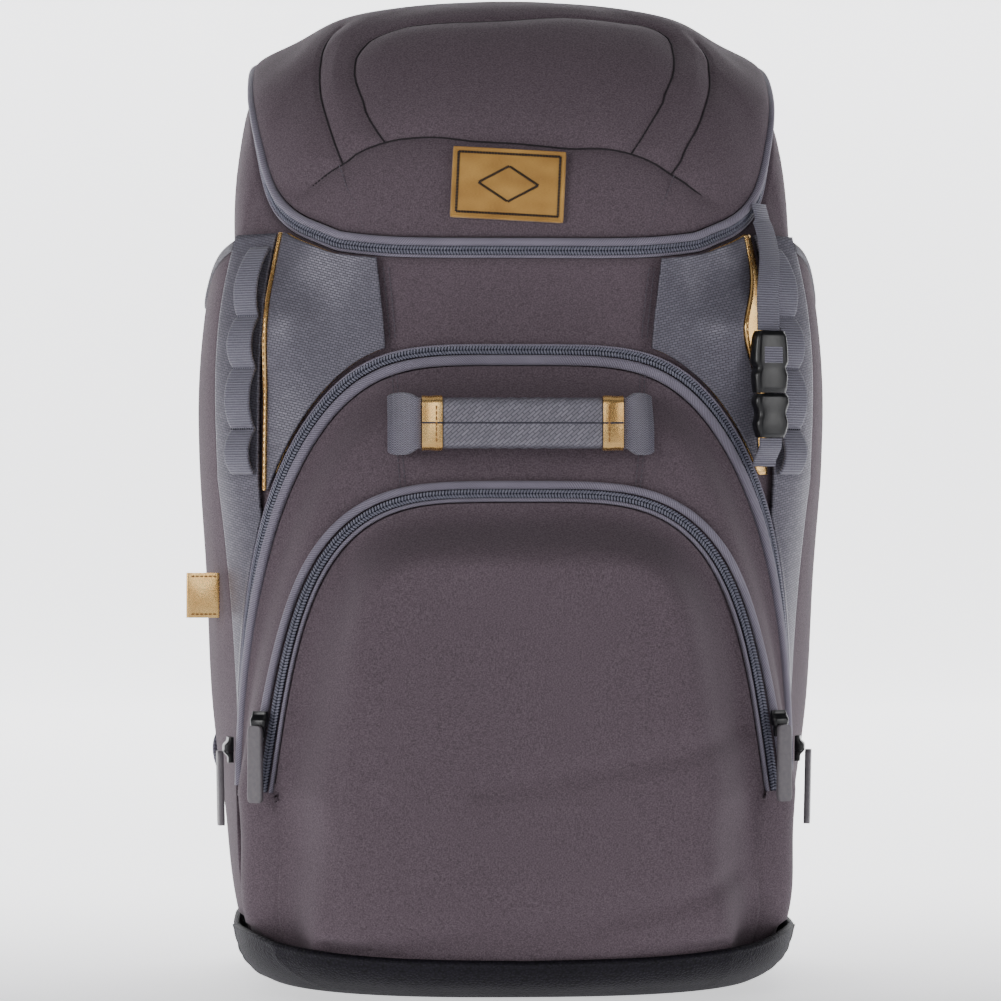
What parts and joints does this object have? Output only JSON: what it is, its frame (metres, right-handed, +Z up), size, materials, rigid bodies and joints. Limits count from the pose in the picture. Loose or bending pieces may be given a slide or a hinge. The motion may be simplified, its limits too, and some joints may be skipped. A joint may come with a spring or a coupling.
{
  "type": "baseball bat backpack",
  "caption": "Upright padded sports backpack with domed zipped lid, arched front pockets, bat sleeves at the sides and a moulded base tray.",
  "frame": {"origin": "on the flat underside of the base tray, under the middle of the main compartment", "axes": "+Z up, -Y to the front with the arched pockets, +X to the right of someone who looks at the front"},
  "size_m": [0.331, 0.2911, 0.508],
  "materials": {
    "cloth": "fine matt woven polyester",
    "carbon_cloth": "coated cloth with a carbon-weave print, satin",
    "webbing": "woven nylon webbing",
    "welt": "smooth woven piping",
    "zip_chain": "moulded zip teeth on navy tape",
    "gold_leather": "metallic gold coated leather",
    "gold_lining": "satin lining",
    "patch": "embroidered satin",
    "tray": "grained, matt",
    "fittings": "moulded nylon",
    "pulls": "soft moulded pull",
    "pads": "open spacer mesh over foam"
  },
  "bodies": {
    "root": {"body_shell": "cloth", "base_boot": "tray", "lid_shell": "cloth", "lid_zip": "zip_chain", "lid_welt": "welt", "middle_pocket": "cloth", "middle_zip": "zip_chain", "middle_welt": "welt", "front_pocket": "cloth", "front_zip": "zip_chain", "front_welt": "welt", "side_pocket_left": "carbon_cloth", "gold_edge_left": "gold_leather", "pocket_lining_left": "gold_lining", "side_gusset_left": "carbon_cloth", "bat_sleeve_left": "cloth", "sleeve_trim_left": "welt", "daisy_chain_left": "webbing", "side_pocket_right": "carbon_cloth", "gold_edge_right": "gold_leather", "pocket_lining_right": "gold_lining", "side_gusset_right": "carbon_cloth", "bat_sleeve_right": "cloth", "sleeve_trim_right": "welt", "daisy_chain_right": "webbing", "handle_grip": "carbon_cloth", "handle_cuff_left": "gold_leather", "handle_webbing_left": "webbing", "handle_cuff_right": "gold_leather", "handle_webbing_right": "webbing", "front_patch": "patch", "side_tag": "gold_leather", "bat_strap_upper": "webbing", "bat_strap_lower": "webbing", "buckle_socket": "fittings", "buckle_plug": "fittings", "zip_slider_middle_left": "fittings", "zip_pull_middle_left": "pulls", "zip_slider_middle_right": "fittings", "zip_pull_middle_right": "pulls", "zip_slider_front_left": "fittings", "zip_pull_front_left": "pulls", "zip_slider_front_right": "fittings", "zip_pull_front_right": "pulls", "lid_slider_left": "fittings", "lid_slider_right": "fittings", "back_pad_right": "pads", "back_pad_left": "pads", "back_pad_lumbar": "pads", "shoulder_strap_left": "cloth", "ladder_lock_left": "fittings", "strap_webbing_left": "webbing", "shoulder_strap_right": "cloth", "ladder_lock_right": "fittings", "strap_webbing_right": "webbing", "haul_loop": "webbing"}
  },
  "joints": []
}
